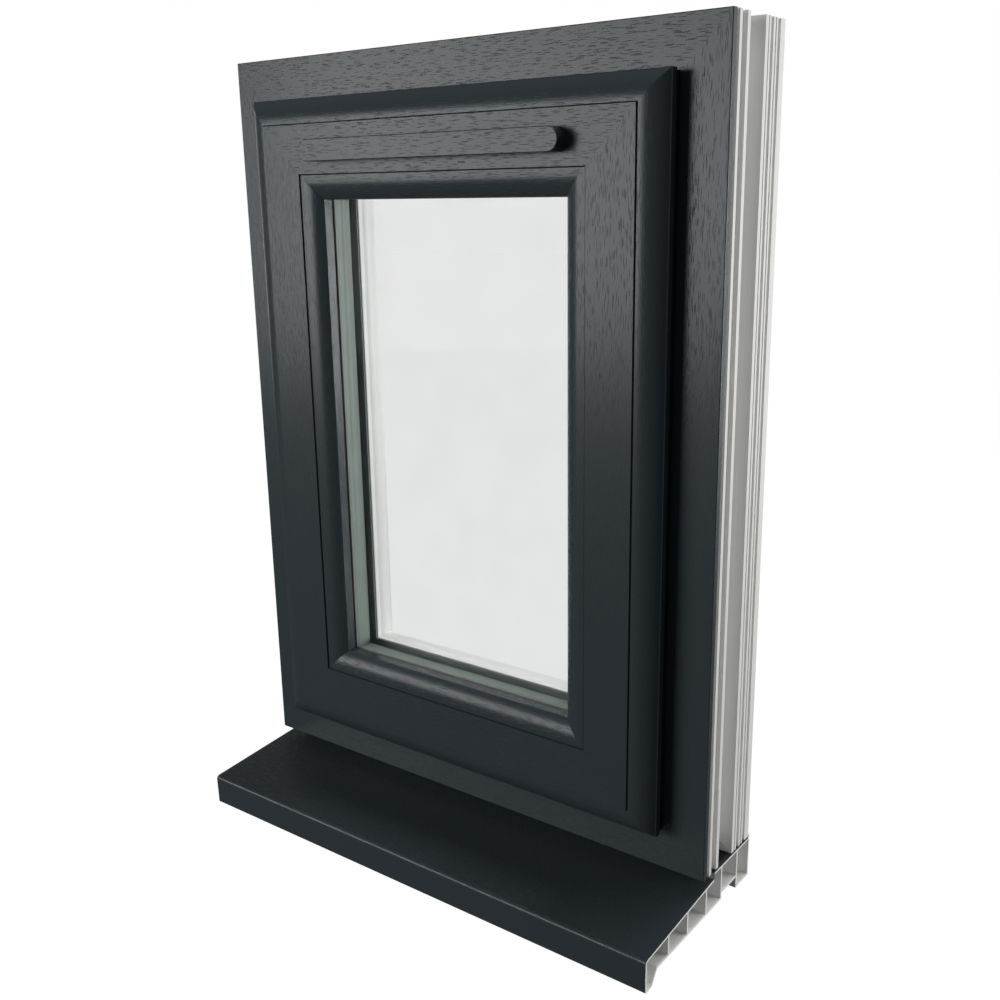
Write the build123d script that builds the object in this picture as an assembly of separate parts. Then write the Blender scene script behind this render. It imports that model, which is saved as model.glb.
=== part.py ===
from build123d import *
from math import asin, degrees, sqrt
import os

# Top-hung casement window on a projecting sill, in millimetres.
# X runs along the window, Y from outside (negative) into the room, Z is up.
# y = 0 is the outdoor face of the outer frame, z = 0 the flat underside of the sill.

# Driving dimensions of the whole window
window_width = 410
window_height = 550
frame_depth = 70
frame_base = 29

# Outer frame section, measured inward from the frame's outer edge
frame_land = 38
frame_upstand = 56
upstand_depth = 18
outer_wall = 2.8
inner_wall = 1.6
front_lip = 4.8
channel_depth = 14
channel_mouth = (21.8, 43)
channel_floor = (25.5, 39.5)

# Sash section, measured inward from the frame's outer edge
sash_edge = 30
sash_body_edge = 50
rebate_floor = 80
sight_line = 100
sash_proud = 22
sash_depth = 70
flange_thickness = 5.3
moulding_radius = 19
rim_width = 0.6
quirk_width = 0.9
quirk_depth = 1.6
face_start = 48.5
face_end = 82.5
outer_strip = 2.5
inner_strip = 3.5
strip_drop = 1

# Sealed glazing unit and its seals
glass_edge = 84
glass_front = -5.2
pane_thickness = 4
cavity_width = 16
spacer_height = 11.5
inner_seal = 3
inner_seal_height = 19.7
fin_notch_depth = 1.4
lip_depth = 7.5

# Glazing bead
bead_height = 19
bead_groove_depth = 3
bead_groove_width = 4
bead_groove_start = 36

# Sill section
sill_nose = -77.5
sill_back = 72.5
nose_top = 14
nose_height = 24
nose_rake = 0.5
nose_lift = 0.6
nose_lip = 8.8
nose_heel = 15.5
slope_end = 15
slope_rise = 8.4
sill_wall = 1.6
web_thickness = 1.6
sill_webs = (-47.6, -21.4, 5.4, 28.2, 52.6)
bedding_thickness = 1.5
step_underside = 5
back_underside = -3.5
upstand_thickness = 2.2

# Vent canopy and closer
canopy_length = 220
canopy_height = 15
canopy_projection = 11.5
canopy_wall = 1.6
canopy_edge = 0.6
vent_centre = 66.8
slot_length = 84
slot_height = 10
slot_spacing = 94
closer_centre = 68
closer_length = 236
closer_height = 20
closer_depth = 13

# Inside handle, its lever pointing to the left as seen from outside
handle_centre = 13.5
handle_height = 68
base_length = 76
base_height = 21
base_thickness = 11
lever_length = 110
lever_width = 17
lever_gap = 23
lever_thickness = 9
neck_radius = 8
neck_height = 6

# Planes that follow from the dimensions above
sash_front = -sash_proud
sash_back = sash_front + sash_depth
strip_front = sash_front + strip_drop
outer_run = face_start - outer_strip - sash_edge - rim_width
inner_run = sight_line - face_end - inner_strip
flange_front = strip_front + moulding_radius - sqrt(moulding_radius**2 - outer_run**2)
flange_back = flange_front + flange_thickness
lip_front = strip_front + moulding_radius - sqrt(moulding_radius**2 - inner_run**2)
lip_back = lip_front + lip_depth
glass_back = glass_front + 2 * pane_thickness + cavity_width
bead_front = glass_back + inner_seal
upstand_front = frame_depth - upstand_depth
seat_height = frame_base - bedding_thickness


def section_face(points):
    """A closed face from (inward, depth) points."""
    return make_face(Polyline(*points, close=True))


def block(inward_from, inward_to, depth_from, depth_to):
    """A rectangular face between two inward and two depth distances."""
    size_in = inward_to - inward_from
    size_depth = depth_to - depth_from
    return Pos(inward_from, depth_from) * Rectangle(size_in, size_depth, align=(Align.MIN, Align.MIN))


def rounded(face, point, radius):
    """Round the corner of a face that lies nearest to a point."""
    corner = face.vertices().sort_by_distance(Vector(*point))[0]
    return fillet(corner, radius)


def mitred(face, length):
    """Extrude a section along X and mitre both ends at 45 degrees."""
    plane = Plane(origin=(0, 0, 0), x_dir=(0, 0, 1), z_dir=(-1, 0, 0))
    bar = extrude(plane * face, amount=length / 2, both=True)
    low = -5
    high = sight_line + 20
    half = length / 2
    trapezoid = Polygon(
        (-half + low, low), (half - low, low), (half - high, high), (-half + high, high), align=None
    )
    cutter = extrude(Plane.XZ * trapezoid, amount=200, both=True)
    return bar & cutter


def ring(face):
    """Four mitred members round the window, keyed by side."""
    middle = frame_base + window_height / 2
    across = mitred(face, window_width)
    upright = mitred(face, window_height)
    return {
        "bottom": Pos(0, 0, frame_base) * across,
        "top": Pos(0, 0, frame_base + window_height) * Rot(0, 180, 0) * across,
        "left": Pos(-window_width / 2, 0, middle) * Rot(0, 90, 0) * upright,
        "right": Pos(window_width / 2, 0, middle) * Rot(0, -90, 0) * upright,
    }


def frame_section():
    """Outer frame: land, room-side upstand, fixing grooves round the edge and chambers."""
    face = section_face([
        (0, 0), (frame_land, 0), (frame_land, upstand_front), (frame_upstand, upstand_front),
        (frame_upstand, frame_depth), (0, frame_depth),
    ])
    face = rounded(face, (frame_upstand, frame_depth), 3)
    face = rounded(face, (frame_land, 0), 1)
    face = rounded(face, (0, 0), 0.6)
    grooves = (
        (front_lip, 8.3, 2.2), (11.5, 18.4, 3.6), (46.5, 47.8, 1.8),
        (50, 53.6, 2.6), (56.2, 57.8, 1.8), (59.8, 63.4, 2.6),
    )
    for start, end, deep in grooves:
        face -= block(-1, deep, start, end)
    face -= section_face([
        (-1, channel_mouth[0]), (channel_depth, channel_floor[0]),
        (channel_depth, channel_floor[1]), (-1, channel_mouth[1]),
    ])
    low = 3.6 + outer_wall
    high = frame_land - outer_wall
    face -= block(low, high, outer_wall, 20.5)
    face -= block(channel_depth + outer_wall, high, 20.5 + inner_wall, 45)
    face -= block(low, high, 45 + inner_wall, upstand_front)
    face -= block(low, frame_upstand - outer_wall, upstand_front + outer_wall, frame_depth - outer_wall)
    return face


def moulded_front():
    """Outdoor outline of the sash: a flat face between two quirked round mouldings."""
    outer_start = face_start - outer_strip
    inner_start = face_end + inner_strip
    centre = strip_front + moulding_radius
    outer_sweep = degrees(asin(outer_run / moulding_radius))
    inner_sweep = degrees(asin(inner_run / moulding_radius))
    quirk = sash_front + quirk_depth
    return [
        Line((sash_edge, flange_front + rim_width / 2), (sash_edge + rim_width, flange_front)),
        CenterArc((outer_start, centre), moulding_radius, 270 - outer_sweep, outer_sweep),
        Polyline(
            (outer_start, strip_front), (face_start - quirk_width, strip_front),
            (face_start - quirk_width / 2, quirk), (face_start, sash_front),
            (face_end, sash_front), (face_end + quirk_width / 2, quirk),
            (face_end + quirk_width, strip_front), (inner_start, strip_front),
        ),
        CenterArc((inner_start, centre), moulding_radius, 270, inner_sweep),
    ]


def sash_section():
    """Sash: overlapping flange, moulded front, glazing rebate, bead groove and chambers."""
    back = Polyline(
        (sight_line, lip_front), (sight_line, lip_back), (rebate_floor, lip_back),
        (rebate_floor, sash_back), (sash_body_edge, sash_back),
        (sash_body_edge, flange_back), (sash_edge, flange_back),
        (sash_edge, flange_front + rim_width / 2),
    )
    face = make_face(Curve() + moulded_front() + back)
    groove_end = bead_groove_start + bead_groove_width
    face -= block(rebate_floor - bead_groove_depth, rebate_floor + 1, bead_groove_start, groove_end)
    body_low = sash_body_edge + outer_wall
    body_high = rebate_floor - outer_wall
    face -= block(body_low, body_high, sash_front + outer_wall, -4)
    face -= block(body_low, body_high, -4 + inner_wall, 32)
    face -= block(body_low, body_high - bead_groove_depth, 32 + inner_wall, sash_back - outer_wall)
    face -= block(rebate_floor + 2, sight_line - 8, strip_front + 3.5, lip_back - 2)
    face -= block(sash_edge + 9, body_low - inner_wall, strip_front + 3.5, flange_back - 2)
    return face


def bead_section():
    """Glazing bead: a foot in the sash groove and a rounded room-side face."""
    top = rebate_floor + bead_height
    room = sash_back - 0.5
    flat = bead_front + 4
    shoulder = rebate_floor + 7
    face = make_face(Curve() + [
        Polyline(
            (shoulder, room), (rebate_floor, room), (rebate_floor, bead_front),
            (top, bead_front), (top, flat),
        ),
        ThreePointArc((top, flat), (top - 2.6, room - 5.4), (shoulder, room)),
    ])
    foot_from = bead_groove_start + 0.2
    foot_to = bead_groove_start + bead_groove_width - 0.2
    face += block(rebate_floor - bead_groove_depth + 0.3, rebate_floor + 1, foot_from, foot_to)
    face -= block(rebate_floor + 3, rebate_floor + 8, bead_front + 3, room - 4)
    return face


def outer_seal_section():
    """Wedge seal between the sash lip and the outer pane, its edge sloped to shed water."""
    return section_face([
        (sight_line - 7, lip_back), (sight_line - 0.3, lip_back),
        (sight_line - 0.8, lip_back + 0.9), (sight_line + 0.7, glass_front - 0.5),
        (sight_line + 0.5, glass_front), (sight_line - 6, glass_front),
    ])


def inner_seal_section():
    """Two-finned seal between the inner pane and the bead."""
    low = glass_edge + 3
    top = rebate_floor + inner_seal_height
    third = inner_seal / 3
    notch = top - fin_notch_depth
    return section_face([
        (low, glass_back), (top, glass_back), (top - 0.2, glass_back + third),
        (notch, glass_back + third), (notch, bead_front - third), (top - 0.3, bead_front - third),
        (top - 0.5, bead_front), (low, bead_front),
    ])


def spacer_section():
    """Spacer bar of the sealed unit, with its sealant behind it."""
    start = glass_front + pane_thickness
    return block(glass_edge + 0.5, glass_edge + 0.5 + spacer_height, start, start + cavity_width)


def weather_seal_section():
    """Bulb seal between the sash flange and the outdoor face of the frame."""
    face = block(sash_edge + 1.2, sash_edge + 6.2, flange_back, 0)
    face = rounded(face, (sash_edge + 1.2, 0), 2)
    return rounded(face, (sash_edge + 6.2, 0), 2)


def room_seal_section():
    """Bulb seal between the sash's room face and the frame's upstand."""
    face = block(sash_body_edge + 0.8, frame_upstand - 0.4, sash_back, upstand_front)
    return rounded(face, (frame_upstand - 0.4, upstand_front), 1.5)


def pane(depth_from):
    """One sheet of the sealed unit."""
    width = window_width - 2 * glass_edge
    height = window_height - 2 * glass_edge
    place = Pos(0, depth_from + pane_thickness / 2, frame_base + window_height / 2)
    return place * Box(width, pane_thickness, height)


def slope_height(y):
    """Height of the sill's weathered top at a depth."""
    return nose_top + slope_rise * (y - sill_nose) / (slope_end - sill_nose)


def sill_outline():
    """Sill section outline on (depth, height)."""
    nose_front = (sill_nose + nose_rake, nose_top - nose_height)
    nose_back = (sill_nose + nose_lip, nose_top - nose_height + nose_lift)
    step_foot = (slope_end, slope_height(slope_end))
    step_head = (slope_end + 1.8, seat_height)
    upstand = sill_back - upstand_thickness
    recess_start = sill_webs[3] + web_thickness / 2
    recess_end = sill_webs[4] - web_thickness / 2
    face = section_face([
        (sill_nose, nose_top), step_foot, step_head, (upstand, seat_height), (upstand, frame_base + 1),
        (sill_back, frame_base + 1), (sill_back, back_underside), (recess_end, back_underside),
        (recess_end, step_underside), (recess_start, step_underside), (recess_start, 0),
        (sill_nose + nose_heel, 0), nose_back, nose_front,
    ])
    face = rounded(face, (sill_nose, nose_top), 3)
    face = rounded(face, nose_front, 1)
    face = rounded(face, nose_back, 1)
    face = rounded(face, step_foot, 2)
    return rounded(face, step_head, 1)


def nose_chamber():
    """First chamber, which runs down into the sill's nose."""
    start = sill_nose + sill_wall
    end = sill_webs[0] - web_thickness / 2
    floor = nose_top - nose_height + sill_wall
    inset = sill_wall / 2
    return section_face([
        (start, slope_height(start) - sill_wall), (start + nose_rake, floor),
        (sill_nose + nose_lip - inset, floor + nose_lift), (sill_nose + nose_heel - inset, sill_wall),
        (end, sill_wall), (end, slope_height(end) - sill_wall),
    ])


def sill_chamber(y_from, y_to):
    """One of the chambers under the sloping top."""
    return section_face([
        (y_from, sill_wall), (y_to, sill_wall),
        (y_to, slope_height(y_to) - sill_wall), (y_from, slope_height(y_from) - sill_wall),
    ])


def make_sill():
    """Hollow six-chamber sill, open at both ends."""
    half_web = web_thickness / 2
    starts = [sill_nose + sill_wall] + [web + half_web for web in sill_webs]
    ends = [web - half_web for web in sill_webs] + [sill_back - sill_wall]
    face = sill_outline() - nose_chamber()
    for index in (1, 2):
        face -= sill_chamber(starts[index], ends[index])
    top = seat_height - sill_wall
    under_step = slope_height(slope_end) - sill_wall
    face -= section_face([
        (starts[3], sill_wall), (ends[3], sill_wall), (ends[3], top), (slope_end + 3, top),
        (slope_end + 1.5, under_step), (starts[3], slope_height(starts[3]) - sill_wall),
    ])
    face -= block(starts[4], ends[4], step_underside + sill_wall, top)
    face -= block(starts[5], ends[5], back_underside + sill_wall, top)
    plane = Plane(origin=(0, 0, 0), x_dir=(0, 1, 0), z_dir=(1, 0, 0))
    return extrude(plane * face, amount=window_width / 2, both=True)


def make_bedding():
    """Sealant bed between the sill's seat and the frame, set in from both ends."""
    middle = (19.5 + frame_depth) / 2
    width = window_width - 4
    place = Pos(0, middle, seat_height + bedding_thickness / 2)
    return place * Box(width, frame_depth - 19.5, bedding_thickness)


def vent_slots():
    """Two slots routed through the sash's top rail for air."""
    height = frame_base + window_height - vent_centre
    cutter = Part()
    for place in GridLocations(slot_spacing, 1, 2, 1):
        cutter += Pos(0, 0, height) * place * Box(slot_length, 3 * sash_depth, slot_height)
    return cutter


def make_canopy():
    """Round-ended hood over the vent slots, open to the sash and along its underside."""
    height = frame_base + window_height - vent_centre
    plane = Plane(origin=(0, sash_front, height), x_dir=(1, 0, 0), z_dir=(0, -1, 0))
    body = extrude(plane * SlotOverall(canopy_length, canopy_height), amount=canopy_projection)
    front = body.faces().sort_by(Axis.Y)[0]
    body = fillet(front.edges(), canopy_edge)
    inner_length = canopy_length - 2 * canopy_wall
    inner_height = canopy_height - 2 * canopy_wall
    body -= extrude(plane * SlotOverall(inner_length, inner_height), amount=canopy_projection - canopy_wall)
    mouth_depth = canopy_projection - 2 * canopy_wall
    mouth = Box(canopy_length - canopy_height, mouth_depth, canopy_height / 2)
    body -= Pos(0, sash_front - mouth_depth / 2, height - canopy_height / 2) * mouth
    return body


def make_closer():
    """Room-side vent closer: a shallow cover with a row of outlet slots along its top edge."""
    outlet_count = 10
    outlet_spacing = 21
    outlet_size = (16, 5)
    height = frame_base + window_height - closer_centre
    plane = Plane(origin=(0, sash_back, height), x_dir=(-1, 0, 0), z_dir=(0, 1, 0))
    body = extrude(plane * RectangleRounded(closer_length, closer_height, 5), amount=closer_depth)
    body = fillet(body.faces().sort_by(Axis.Y)[-1].edges(), 2.5)
    inside = RectangleRounded(closer_length - 5, closer_height - 5, 3)
    body -= extrude(plane * inside, amount=closer_depth - 2.5)
    outlet = Box(outlet_size[0], outlet_size[1], closer_height / 2)
    middle = Pos(0, sash_back + closer_depth / 2, height + closer_height / 2)
    for place in GridLocations(outlet_spacing, 1, outlet_count, 1):
        body -= middle * place * outlet
    return body


def make_handle_base():
    """Handle base plate with its round neck."""
    height = frame_base + handle_height
    plane = Plane(origin=(handle_centre, sash_back, height), x_dir=(-1, 0, 0), z_dir=(0, 1, 0))
    body = extrude(plane * RectangleRounded(base_length, base_height, 8), amount=base_thickness, taper=6)
    body += extrude(plane * Circle(neck_radius + 0.5), amount=base_thickness + neck_height)
    return body


def make_handle_lever():
    """Handle lever: a round neck and a tapered grip standing clear of the sash."""
    height = frame_base + handle_height
    neck_start = sash_back + base_thickness + neck_height
    neck_length = lever_gap + lever_thickness - base_thickness - neck_height
    tip_radius = lever_width * 0.32
    grip_start = sash_back + lever_gap
    neck_plane = Plane(origin=(handle_centre, neck_start, height), x_dir=(-1, 0, 0), z_dir=(0, 1, 0))
    grip_plane = Plane(origin=(handle_centre, grip_start, height), x_dir=(-1, 0, 0), z_dir=(0, 1, 0))
    outline = Sketch() + [
        Circle(lever_width / 2), Pos(lever_length - tip_radius, 0) * Circle(tip_radius)
    ]
    grip = extrude(grip_plane * make_hull(outline.edges()), amount=lever_thickness)
    grip = fillet(grip.faces().sort_by(Axis.Y)[-1].edges(), 2.5)
    neck = extrude(neck_plane * Circle(neck_radius), amount=neck_length / 2)
    return grip + neck


def build_parts():
    """All nodes by name."""
    nodes = {}
    frame = ring(frame_section())
    nodes["frame_head"] = frame["top"]
    nodes["frame_left_jamb"] = frame["left"]
    nodes["frame_right_jamb"] = frame["right"]
    nodes["frame_bottom_rail"] = frame["bottom"]
    sash = ring(sash_section())
    nodes["sash_top_rail"] = sash["top"] - vent_slots()
    nodes["sash_left_stile"] = sash["left"]
    nodes["sash_right_stile"] = sash["right"]
    nodes["sash_bottom_rail"] = sash["bottom"]
    rings = {
        "glazing_bead": bead_section(),
        "outer_glazing_seal": outer_seal_section(),
        "inner_glazing_seal": inner_seal_section(),
        "spacer_bar": spacer_section(),
        "weather_seal": weather_seal_section(),
        "room_seal": room_seal_section(),
    }
    for name, face in rings.items():
        for side, member in ring(face).items():
            nodes[name + "_" + side] = member
    nodes["glass_outer_pane"] = pane(glass_front)
    nodes["glass_inner_pane"] = pane(glass_back - pane_thickness)
    nodes["sill"] = make_sill()
    nodes["sill_bedding"] = make_bedding()
    nodes["vent_canopy"] = make_canopy()
    nodes["vent_closer"] = make_closer()
    nodes["handle_base"] = make_handle_base()
    nodes["handle_lever"] = make_handle_lever()
    return nodes


os.makedirs("parts", exist_ok=True)
for node_name, solid in build_parts().items():
    solid.label = node_name
    export_step(solid, "parts/" + node_name + ".step")
    print(node_name, round(solid.volume / 1000, 2), "cm3")
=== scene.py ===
import math

import bmesh
import bpy
from mathutils import Matrix, Vector


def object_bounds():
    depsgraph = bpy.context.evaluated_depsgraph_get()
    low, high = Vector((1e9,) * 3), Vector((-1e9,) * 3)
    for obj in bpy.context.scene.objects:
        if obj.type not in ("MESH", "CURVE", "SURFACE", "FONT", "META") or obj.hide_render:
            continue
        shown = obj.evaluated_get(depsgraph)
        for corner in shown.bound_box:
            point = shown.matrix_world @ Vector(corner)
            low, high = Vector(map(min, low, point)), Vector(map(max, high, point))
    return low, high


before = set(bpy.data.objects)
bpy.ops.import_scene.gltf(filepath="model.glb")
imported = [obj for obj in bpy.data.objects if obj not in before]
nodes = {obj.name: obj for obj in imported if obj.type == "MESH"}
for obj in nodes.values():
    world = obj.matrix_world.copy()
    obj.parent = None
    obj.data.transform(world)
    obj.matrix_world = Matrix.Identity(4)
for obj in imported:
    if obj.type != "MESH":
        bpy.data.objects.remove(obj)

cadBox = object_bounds()
print("frame loaded:", len(nodes), "nodes")


# small helpers for node trees

def newMaterial(name):
    material = bpy.data.materials.new(name)
    material.use_nodes = True
    material.node_tree.nodes.clear()
    return material


def plug(tree, value, socket):
    # a link from another node's socket, or else a fixed colour, number or vector
    if isinstance(value, bpy.types.NodeSocket):
        tree.links.new(value, socket)
    elif socket.type == "RGBA":
        socket.default_value = (*value, 1.0)
    else:
        socket.default_value = value


def addNode(tree, kind, inputs=None, **settings):
    node = tree.nodes.new(kind)
    for key, value in settings.items():
        setattr(node, key, value)
    for name, value in (inputs or {}).items():
        plug(tree, value, node.inputs[name])
    return node


def calc(tree, operation, *values):
    node = addNode(tree, "ShaderNodeMath", operation=operation)
    for socket, value in zip(node.inputs, values):
        plug(tree, value, socket)
    return node.outputs[0]


def ramp(tree, source, span, target=(0.0, 1.0)):
    node = addNode(tree, "ShaderNodeMapRange", {
        "Value": source, "From Min": span[0], "From Max": span[1],
        "To Min": target[0], "To Max": target[1],
    }, clamp=True, interpolation_type="SMOOTHSTEP")
    return node.outputs["Result"]


def blend(tree, factor, first, second, dataType, socketType):
    node = addNode(tree, "ShaderNodeMix", {"Factor": factor}, data_type=dataType)
    for name, value in (("A", first), ("B", second)):
        socket = next(s for s in node.inputs if s.name == name and s.type == socketType)
        plug(tree, value, socket)
    return next(s for s in node.outputs if s.type == socketType)


def blendColour(tree, factor, first, second):
    return blend(tree, factor, first, second, "RGBA", "RGBA")


def blendValue(tree, factor, first, second):
    return blend(tree, factor, first, second, "FLOAT", "VALUE")


def coordinates(tree, vector):
    split = addNode(tree, "ShaderNodeSeparateXYZ", {0: vector})
    return split.outputs["X"], split.outputs["Y"], split.outputs["Z"]


def millimetres(tree, scale=1.0, offset=(0.0, 0.0, 0.0)):
    # object coordinates in millimetres, times one number or one for each axis
    scales = scale if isinstance(scale, tuple) else (scale, scale, scale)
    place = addNode(tree, "ShaderNodeTexCoord")
    mapping = addNode(tree, "ShaderNodeMapping", {
        "Vector": place.outputs["Object"],
        "Location": offset,
        "Scale": [1000 * value for value in scales],
    })
    return mapping.outputs["Vector"]


def grainSpace(tree, axis, size, offset=(0.0, 0.0, 0.0)):
    # one unit is size[0] millimetres along the grain and size[1] across it
    scale = tuple(1 / (size[0] if name == axis else size[1]) for name in "XYZ")
    return millimetres(tree, scale, offset)


def noise(tree, vector, detail=2.0, roughness=0.5):
    node = addNode(tree, "ShaderNodeTexNoise", {
        "Vector": vector, "Scale": 1.0, "Detail": detail, "Roughness": roughness,
    }, noise_dimensions="3D")
    return node.outputs["Fac"]


def bump(tree, height, distance):
    node = addNode(tree, "ShaderNodeBump", {
        "Height": height, "Strength": 1.0, "Distance": distance,
    })
    return node.outputs["Normal"]


def showSurface(tree, shader):
    addNode(tree, "ShaderNodeOutputMaterial", {"Surface": shader.outputs[0]})


# woodgrain foil over white profile

foil = {
    "colour": (0.039, 0.050, 0.057),
    "poreColour": (0.032, 0.041, 0.047),
    "specular": 0.25,
    "index": 1.5,
    "roughness": (0.25, 0.46),      # between the pores, and in them
    "pore": (11.0, 0.64),           # millimetres from pore to pore, along the grain and across it
    "poreEdge": (0.20, 0.37),       # from a pore's bottom to its rim, as a share of that
    "poreDepth": 0.000026,          # metres
    "wanderScale": 0.006,
    "wander": 5.0,                  # how far the grain strays, in pore gaps
    "patch": (70.0, 16.0),
    "patchRange": (0.3, 0.6),
    "patchStrength": (0.75, 1.0),
    "streak": (9.0, 0.7),
    "streakDetail": 2.5,
    "streakRoughness": 0.6,
    "streakDepth": 0.000050,        # metres
    "pebbleScale": 2.2,
    "pebbleShare": 0.10,            # of a pore's depth
    "uprightShift": 37.0,           # keeps rails and stiles from sharing a pattern
    "frameEdge": 4.8,               # depths in millimetres at which the foil stops
    "sashEdge": -7.2,
    "edgeBlur": 0.08,
}
profile = {
    "colour": (0.80, 0.80, 0.785),
    # the sill's white is the profile white made brighter: painted light in the sill's chambers and
    # on its cut end
    "sillWhiteWithPaintedLight": (0.90, 0.90, 0.885),
    "extrusion": (300.0, 0.9),      # millimetres, along the profile and across it
    "extrusionRange": (0.3, 0.7),
    "shade": (0.965, 1.0),
    "roughness": (0.34, 0.42),
}


def porePattern(tree, axis, shift):
    strayed = (0.0, 0.0, foil["wander"]) if axis == "X" else (foil["wander"], 0.0, 0.0)
    straying = noise(tree, millimetres(tree, foil["wanderScale"]), detail=0.0)
    push = addNode(tree, "ShaderNodeVectorMath", {0: strayed, "Scale": straying}, operation="SCALE")
    straight = grainSpace(tree, axis, foil["pore"], (shift, 0.0, shift))
    bent = addNode(tree, "ShaderNodeVectorMath", {0: straight, 1: push.outputs[0]}, operation="ADD")
    cells = addNode(tree, "ShaderNodeTexVoronoi", {
        "Vector": bent.outputs[0], "Scale": 1.0,
    }, voronoi_dimensions="3D", feature="F1")
    pores = ramp(tree, cells.outputs["Distance"], foil["poreEdge"], (1.0, 0.0))
    patches = noise(tree, grainSpace(tree, axis, foil["patch"]), detail=1.0)
    strength = ramp(tree, patches, foil["patchRange"], foil["patchStrength"])
    return calc(tree, "MULTIPLY", pores, strength)


def foilMaterial(name, axis, foilMask=None, profileWhiteAndSillPaintedLight=profile["colour"]):
    material = newMaterial(name)
    tree = material.node_tree
    shift = foil["uprightShift"] if axis == "Z" else 0.0
    pores = porePattern(tree, axis, shift)
    streakSpace = grainSpace(tree, axis, foil["streak"], (0.0, shift, 0.0))
    streaks = noise(tree, streakSpace, foil["streakDetail"], foil["streakRoughness"])
    pebble = noise(tree, millimetres(tree, foil["pebbleScale"]), detail=1.0)
    colour = blendColour(tree, pores, foil["colour"], foil["poreColour"])
    roughness = ramp(tree, pores, (0.0, 1.0), foil["roughness"])
    sunk = calc(tree, "MULTIPLY", pores, -1.0)
    relief = calc(tree, "MULTIPLY_ADD", streaks, foil["streakDepth"] / foil["poreDepth"], sunk)
    relief = calc(tree, "MULTIPLY_ADD", pebble, foil["pebbleShare"], relief)
    if foilMask:
        mask = foilMask(tree)
        lines = noise(tree, grainSpace(tree, axis, profile["extrusion"]))
        shade = ramp(tree, lines, profile["extrusionRange"], profile["shade"])
        # on the sill this white is the brighter copy that carries painted light
        white = addNode(tree, "ShaderNodeVectorMath", {
            0: profileWhiteAndSillPaintedLight, "Scale": shade,
        }, operation="SCALE")
        sheen = ramp(tree, lines, profile["extrusionRange"], profile["roughness"])
        colour = blendColour(tree, mask, white.outputs[0], colour)
        roughness = blendValue(tree, mask, sheen, roughness)
        relief = calc(tree, "MULTIPLY", relief, mask)
    showSurface(tree, addNode(tree, "ShaderNodeBsdfPrincipled", {
        "Base Color": colour,
        "Roughness": roughness,
        "Normal": bump(tree, relief, foil["poreDepth"]),
        "Specular IOR Level": foil["specular"],
        "IOR": foil["index"],
    }))
    return material


def frontMask(edge):
    # foil from the outdoor face back to a depth in millimetres, white behind it
    def build(tree):
        depth = coordinates(tree, millimetres(tree))[1]
        return ramp(tree, depth, (edge - foil["edgeBlur"], edge + foil["edgeBlur"]), (1.0, 0.0))
    return build


sillFoil = {
    "noseFront": -77.5,
    "noseTop": 14.0,
    "slopeEnd": 15.0,
    "slopeRise": 8.4,
    "stepBack": 17.4,
    "seat": 27.5,
    "back": 70.2,
    "round": 3.0,       # radius of the nose's top edge
    "film": 0.7,        # how deep the dark skin counts on a long face
    "endFilm": 0.25,    # and how thin it shows on a cut end
    "cutEnd": 204.9,
}


def sillMask(tree):
    # foil where a point lies within the film's depth of the sill's top and nose
    x, y, z = coordinates(tree, millimetres(tree))
    gradient = sillFoil["slopeRise"] / (sillFoil["slopeEnd"] - sillFoil["noseFront"])
    start = sillFoil["noseTop"] - gradient * sillFoil["noseFront"]
    slope = calc(tree, "MULTIPLY_ADD", y, gradient, start)
    foot = calc(tree, "MINIMUM", slope, sillFoil["noseTop"] + sillFoil["slopeRise"])
    behindStep = calc(tree, "GREATER_THAN", y, sillFoil["stepBack"])
    rise = calc(tree, "SUBTRACT", sillFoil["seat"], foot)
    surface = calc(tree, "MULTIPLY_ADD", rise, behindStep, foot)
    below = calc(tree, "ADD", calc(tree, "SUBTRACT", z, surface), sillFoil["round"])
    ahead = calc(tree, "SUBTRACT", sillFoil["noseFront"] + sillFoil["round"], y)
    upward = calc(tree, "POWER", calc(tree, "MAXIMUM", below, 0.0), 2.0)
    forward = calc(tree, "POWER", calc(tree, "MAXIMUM", ahead, 0.0), 2.0)
    reach = calc(tree, "SQRT", calc(tree, "ADD", upward, forward))
    atEnd = calc(tree, "GREATER_THAN", calc(tree, "ABSOLUTE", x), sillFoil["cutEnd"])
    thinner = sillFoil["endFilm"] - sillFoil["film"]
    film = calc(tree, "MULTIPLY_ADD", atEnd, thinner, sillFoil["film"])
    skin = calc(tree, "GREATER_THAN", reach, calc(tree, "SUBTRACT", sillFoil["round"], film))
    inFront = calc(tree, "LESS_THAN", y, sillFoil["back"])
    return calc(tree, "MULTIPLY", skin, inFront)


frameFoil = {
    "X": foilMaterial("frame_foil_across", "X", frontMask(foil["frameEdge"])),
    "Z": foilMaterial("frame_foil_upright", "Z", frontMask(foil["frameEdge"])),
}
sashFoil = {
    "X": foilMaterial("sash_foil_across", "X", frontMask(foil["sashEdge"])),
    "Z": foilMaterial("sash_foil_upright", "Z", frontMask(foil["sashEdge"])),
}
# the sill's white behind the foil is brighter than the frame's, as painted light
sillSkin = foilMaterial("sill_foil", "X", sillMask, profile["sillWhiteWithPaintedLight"])
canopyFoil = foilMaterial("canopy_foil", "X")
print("foil materials made")


# plain plastics and seals

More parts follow.
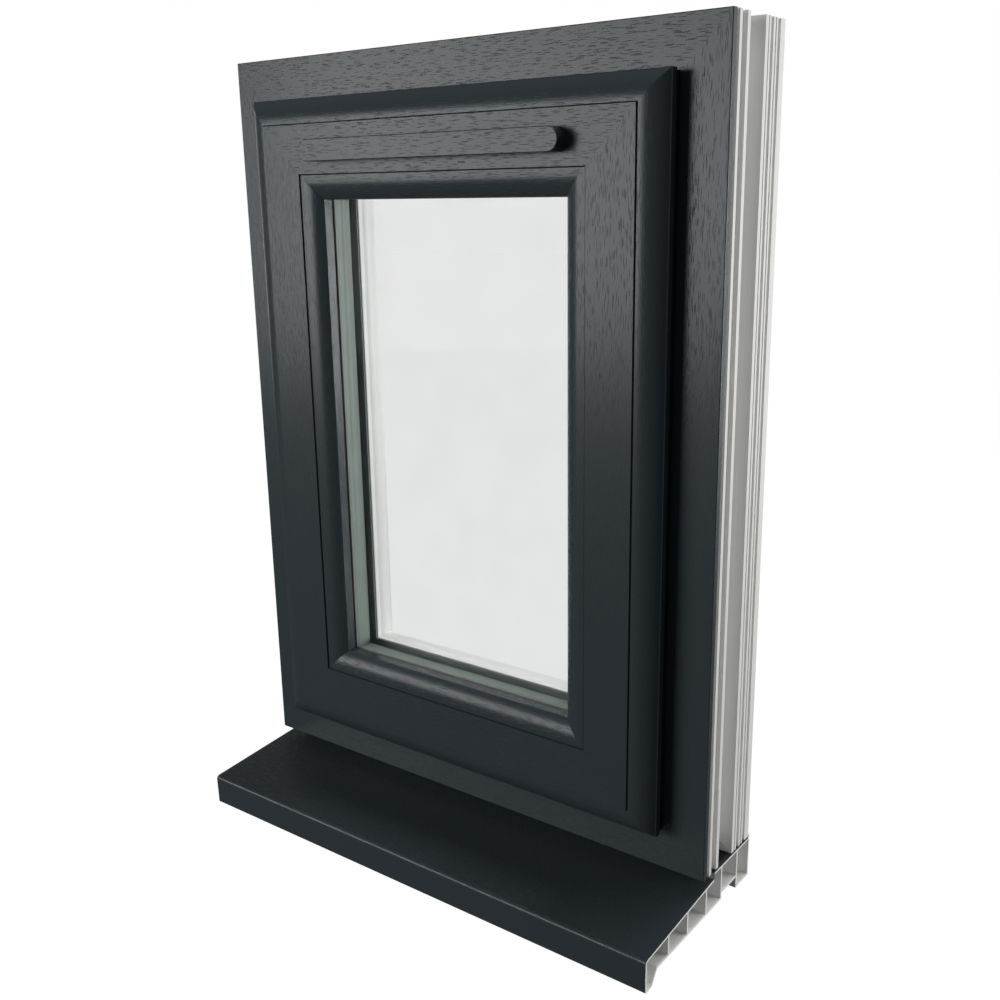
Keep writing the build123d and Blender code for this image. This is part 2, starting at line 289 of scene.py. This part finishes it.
plastic = {
    "index": 1.5,
    "lineLength": 250.0,            # millimetres along the extrusion
    "lineRange": (0.3, 0.7),
    "lineDepth": 0.00002,           # metres
    "cloudScale": 0.05,
    "cloudShare": 0.5,              # of clouds in the colour, against lines
    "colourRange": (0.35, 0.65),
    "shade": 0.96,
    "roughnessSpread": 0.07,
}
finishes = {
    "bead_white": {
        "colour": (0.90, 0.90, 0.89), "roughness": 0.32, "specular": 0.3, "lineWidth": 0.9},
    "weather_seal_black": {
        "colour": (0.010, 0.009, 0.008), "roughness": 0.6, "specular": 0.25, "lineWidth": 0.5},
    "room_seal_black": {
        "colour": (0.012, 0.012, 0.012), "roughness": 0.6, "specular": 0.25, "lineWidth": 0.5},
    "outer_seal_grey": {
        "colour": (0.130, 0.121, 0.108), "roughness": 0.55, "specular": 0.25, "lineWidth": 0.5},
    "inner_seal_dark": {
        "colour": (0.220, 0.245, 0.240), "roughness": 0.55, "specular": 0.25, "lineWidth": 0.5},
    "bedding_black": {
        "colour": (0.012, 0.012, 0.012), "roughness": 0.7, "specular": 0.2, "lineWidth": 0.5},
    "hardware_white": {
        "colour": (0.82, 0.82, 0.81), "roughness": 0.28, "specular": 0.4, "lineWidth": 0.6},
}


def plasticMaterial(name, finish, axis="X"):
    material = newMaterial(name)
    tree = material.node_tree
    lineSize = (plastic["lineLength"], finish["lineWidth"])
    lines = noise(tree, grainSpace(tree, axis, lineSize))
    clouds = noise(tree, millimetres(tree, plastic["cloudScale"]))
    lineShare = calc(tree, "MULTIPLY", lines, 1 - plastic["cloudShare"])
    mixed = calc(tree, "MULTIPLY_ADD", clouds, plastic["cloudShare"], lineShare)
    tone = ramp(tree, mixed, plastic["colourRange"])
    shade = tuple(value * plastic["shade"] for value in finish["colour"])
    spread = (finish["roughness"], finish["roughness"] + plastic["roughnessSpread"])
    showSurface(tree, addNode(tree, "ShaderNodeBsdfPrincipled", {
        "Base Color": blendColour(tree, tone, shade, finish["colour"]),
        "Roughness": ramp(tree, lines, plastic["lineRange"], spread),
        "Normal": bump(tree, lines, plastic["lineDepth"]),
        "Specular IOR Level": finish["specular"],
        "IOR": plastic["index"],
    }))
    return material


beadPlastic = {
    axis: plasticMaterial("bead_white_" + axis, finishes["bead_white"], axis) for axis in "XZ"
}
plainPlastic = {
    name: plasticMaterial(name, finish) for name, finish in finishes.items() if name != "bead_white"
}


# spacer bar and glass

spacer = {
    "colour": (0.19, 0.225, 0.205),
    "shade": 0.66,
    "specular": 0.15,
    "index": 1.5,
    "rolled": (400.0, 2.4),         # millimetres, along the bar and across it
    "rolledRange": (0.3, 0.7),
    "roughness": (0.34, 0.46),
    "depth": 0.00002,               # metres
}
glass = {
    "tint": (0.875, 0.88, 0.878),
    "index": 1.06,                  # low, so that two flat panes don't mirror the whole key lamp
    "specular": 0.5,
    "dustScale": 0.03,
    "dustRange": (0.3, 0.7),
    "dustShade": 0.985,
    "scattered": 0.5,               # share of room light that goes straight through
}


def spacerMaterial(name, axis):
    material = newMaterial(name)
    tree = material.node_tree
    rolled = noise(tree, grainSpace(tree, axis, spacer["rolled"]))
    shade = tuple(value * spacer["shade"] for value in spacer["colour"])
    tone = ramp(tree, rolled, spacer["rolledRange"])
    showSurface(tree, addNode(tree, "ShaderNodeBsdfPrincipled", {
        "Base Color": blendColour(tree, tone, shade, spacer["colour"]),
        "Roughness": ramp(tree, rolled, spacer["rolledRange"], spacer["roughness"]),
        "Normal": bump(tree, rolled, spacer["depth"]),
        "Specular IOR Level": spacer["specular"],
        "IOR": spacer["index"],
    }))
    return material


def glassMaterial(name):
    material = newMaterial(name)
    tree = material.node_tree
    dust = noise(tree, millimetres(tree, glass["dustScale"]), detail=3.0)
    shade = tuple(value * glass["dustShade"] for value in glass["tint"])
    tone = ramp(tree, dust, glass["dustRange"])
    pane = addNode(tree, "ShaderNodeBsdfPrincipled", {
        "Base Color": blendColour(tree, tone, shade, glass["tint"]),
        "Roughness": 0.0,
        "Transmission Weight": 1.0,
        "Specular IOR Level": glass["specular"],
        "IOR": glass["index"],
    })
    # lamps shine straight through, and so does part of the light in the room
    clear = addNode(tree, "ShaderNodeBsdfTransparent", {"Color": glass["tint"]})
    path = addNode(tree, "ShaderNodeLightPath")
    scattered = calc(tree, "MULTIPLY", path.outputs["Is Diffuse Ray"], glass["scattered"])
    through = calc(tree, "MAXIMUM", path.outputs["Is Shadow Ray"], scattered)
    showSurface(tree, addNode(tree, "ShaderNodeMixShader", {
        0: through, 1: pane.outputs[0], 2: clear.outputs[0],
    }))
    return material


spacerMetal = {axis: spacerMaterial("spacer_metal_" + axis, axis) for axis in "XZ"}
floatGlass = glassMaterial("float_glass")
print("plain materials made")


def dress(name, material):
    mesh = nodes[name].data
    mesh.materials.clear()
    mesh.materials.append(material)


# each side's grain direction, and its members of frame and sash
members = {
    "bottom": ("X", "frame_bottom_rail", "sash_bottom_rail"),
    "top": ("X", "frame_head", "sash_top_rail"),
    "left": ("Z", "frame_left_jamb", "sash_left_stile"),
    "right": ("Z", "frame_right_jamb", "sash_right_stile"),
}
for side, (axis, frameMember, sashMember) in members.items():
    dress(frameMember, frameFoil[axis])
    dress(sashMember, sashFoil[axis])
    dress("glazing_bead_" + side, beadPlastic[axis])
    dress("spacer_bar_" + side, spacerMetal[axis])
    dress("weather_seal_" + side, plainPlastic["weather_seal_black"])
    dress("room_seal_" + side, plainPlastic["room_seal_black"])
    dress("outer_glazing_seal_" + side, plainPlastic["outer_seal_grey"])
    dress("inner_glazing_seal_" + side, plainPlastic["inner_seal_dark"])
dress("glass_outer_pane", floatGlass)
dress("glass_inner_pane", floatGlass)
dress("sill", sillSkin)
dress("sill_bedding", plainPlastic["bedding_black"])
dress("vent_canopy", canopyFoil)
for name in ("vent_closer", "handle_base", "handle_lever"):
    dress(name, plainPlastic["hardware_white"])
print("nodes dressed")


# floor, world and lamps

studio = {
    "background": 1.0,            # white where it is seen, or mirrored behind the window
    "front": 0.14,                # dim light in front of the window
    "behind": 0.50,               # light on the room side
    "overhead": 0.12,             # dim above, but for the light on the room side
    "turn": (0.05, 0.45),         # directions along Y from dim to pale
    "rise": (0.10, 0.50),         # and upwards to the ceiling
    "floorSize": 14.0,
    "floorTiles": 8,
    "floorColour": (0.86, 0.86, 0.86),
    "floorWhite": 1.035,
    "floorGlow": 0.96,            # share of that white in the floor as the camera sees it
    "floorFront": 0.05,
    "floorTurn": (0.30, 1.80),    # metres along Y from dim to pale floor
    "lampAim": (0.0, 0.0, 0.30),  # the point that every lamp faces
}


def seenStraight(tree):
    path = addNode(tree, "ShaderNodeLightPath")
    return calc(tree, "MAXIMUM", path.outputs["Is Camera Ray"], path.outputs["Is Transmission Ray"])


def makeWorld():
    world = bpy.data.worlds.new("studio_world")
    world.use_nodes = True
    tree = world.node_tree
    tree.nodes.clear()
    place = addNode(tree, "ShaderNodeTexCoord")
    path = addNode(tree, "ShaderNodeLightPath")
    y, z = coordinates(tree, place.outputs["Generated"])[1:]
    away = ramp(tree, y, studio["turn"])
    glossy = path.outputs["Is Glossy Ray"]
    behind = blendValue(tree, glossy, studio["behind"], studio["background"])
    walls = blendValue(tree, away, studio["front"], behind)
    inRoom = calc(tree, "MULTIPLY", path.outputs["Is Diffuse Ray"], away)
    ceiling = blendValue(tree, inRoom, studio["overhead"], studio["behind"])
    room = blendValue(tree, ramp(tree, z, studio["rise"]), walls, ceiling)
    strength = blendValue(tree, seenStraight(tree), room, studio["background"])
    glow = addNode(tree, "ShaderNodeBackground", {"Color": (1.0, 1.0, 1.0), "Strength": strength})
    addNode(tree, "ShaderNodeOutputWorld", {"Surface": glow.outputs[0]})
    bpy.context.scene.world = world


def floorMaterial(name):
    material = newMaterial(name)
    tree = material.node_tree
    place = addNode(tree, "ShaderNodeTexCoord")
    y = coordinates(tree, place.outputs["Object"])[1]
    lit = addNode(tree, "ShaderNodeBsdfDiffuse", {"Color": studio["floorColour"]})
    white = addNode(tree, "ShaderNodeEmission", {"Strength": studio["floorWhite"]})
    seen = addNode(tree, "ShaderNodeMixShader", {
        0: studio["floorGlow"], 1: lit.outputs[0], 2: white.outputs[0],
    })
    tone = ramp(tree, y, studio["floorTurn"], (studio["floorFront"], studio["background"]))
    dim = addNode(tree, "ShaderNodeEmission", {"Strength": tone})
    showSurface(tree, addNode(tree, "ShaderNodeMixShader", {
        0: seenStraight(tree), 1: dim.outputs[0], 2: seen.outputs[0],
    }))
    material.cycles.emission_sampling = "NONE"
    return material


def makeFloor():
    bm = bmesh.new()
    tiles = studio["floorTiles"]
    bmesh.ops.create_grid(bm, x_segments=tiles, y_segments=tiles, size=studio["floorSize"] / 2)
    bmesh.ops.translate(bm, verts=bm.verts, vec=(0, 0, cadBox[0][2]))
    mesh = bpy.data.meshes.new("studio_floor")
    bm.to_mesh(mesh)
    bm.free()
    mesh.materials.append(floorMaterial("floor_pale"))
    floor = bpy.data.objects.new("studio_floor", mesh)
    bpy.context.scene.collection.objects.link(floor)


lamps = {
    "key": {"turn": -32.0, "height": 0.28, "distance": 2.5, "size": (1.74, 1.12), "power": 38.5},
    "side": {"turn": 125.0, "height": 0.0, "distance": 2.0, "size": (0.85, 0.85), "power": 30.0},
    "room": {"turn": 165.0, "height": 2.00, "distance": 0.75, "size": (0.9, 0.6), "power": 22.0},
}


def makeLamp(name, lamp):
    # turn is counted from straight in front of the outdoor face, towards +X
    turn = math.radians(lamp["turn"])
    away = Vector((math.sin(turn), -math.cos(turn), lamp["height"] / lamp["distance"]))
    data = bpy.data.lights.new(name + "_lamp", "AREA")
    data.shape = "RECTANGLE"
    data.size, data.size_y = lamp["size"]
    data.energy = lamp["power"]
    item = bpy.data.objects.new(name + "_lamp", data)
    item.location = Vector(studio["lampAim"]) + away * lamp["distance"]
    item.rotation_euler = away.to_track_quat("Z", "Y").to_euler()
    bpy.context.scene.collection.objects.link(item)


makeWorld()
makeFloor()
for lampName, lamp in lamps.items():
    makeLamp(lampName, lamp)
print("studio made")


# camera

cameraView = {
    "place": (0.5061, -0.6204, 0.48305),
    "turn": 37.0322,      # degrees left of straight at the window
    "pitch": 15.1865,     # degrees down
    "roll": -0.9481,
    "lens": 41.077,
    "sensor": 36.0,
    "nearest": 0.01,
}


def makeCamera():
    turn, pitch, roll = (math.radians(cameraView[key]) for key in ("turn", "pitch", "roll"))
    forward = Vector((
        -math.sin(turn) * math.cos(pitch), math.cos(turn) * math.cos(pitch), -math.sin(pitch),
    ))
    right = Vector((math.cos(turn), math.sin(turn), 0))
    up = right.cross(forward)
    rolledRight = math.cos(roll) * right + math.sin(roll) * up
    rolledUp = math.cos(roll) * up - math.sin(roll) * right
    data = bpy.data.cameras.new("camera")
    data.lens = cameraView["lens"]
    data.sensor_width = cameraView["sensor"]
    data.clip_start = cameraView["nearest"]
    item = bpy.data.objects.new("camera", data)
    turned = Matrix((rolledRight, rolledUp, -forward)).transposed().to_4x4()
    item.matrix_world = Matrix.Translation(cameraView["place"]) @ turned
    bpy.context.scene.collection.objects.link(item)
    bpy.context.scene.camera = item


makeCamera()
bpy.context.scene.view_settings.view_transform = "Standard"
print("camera made")
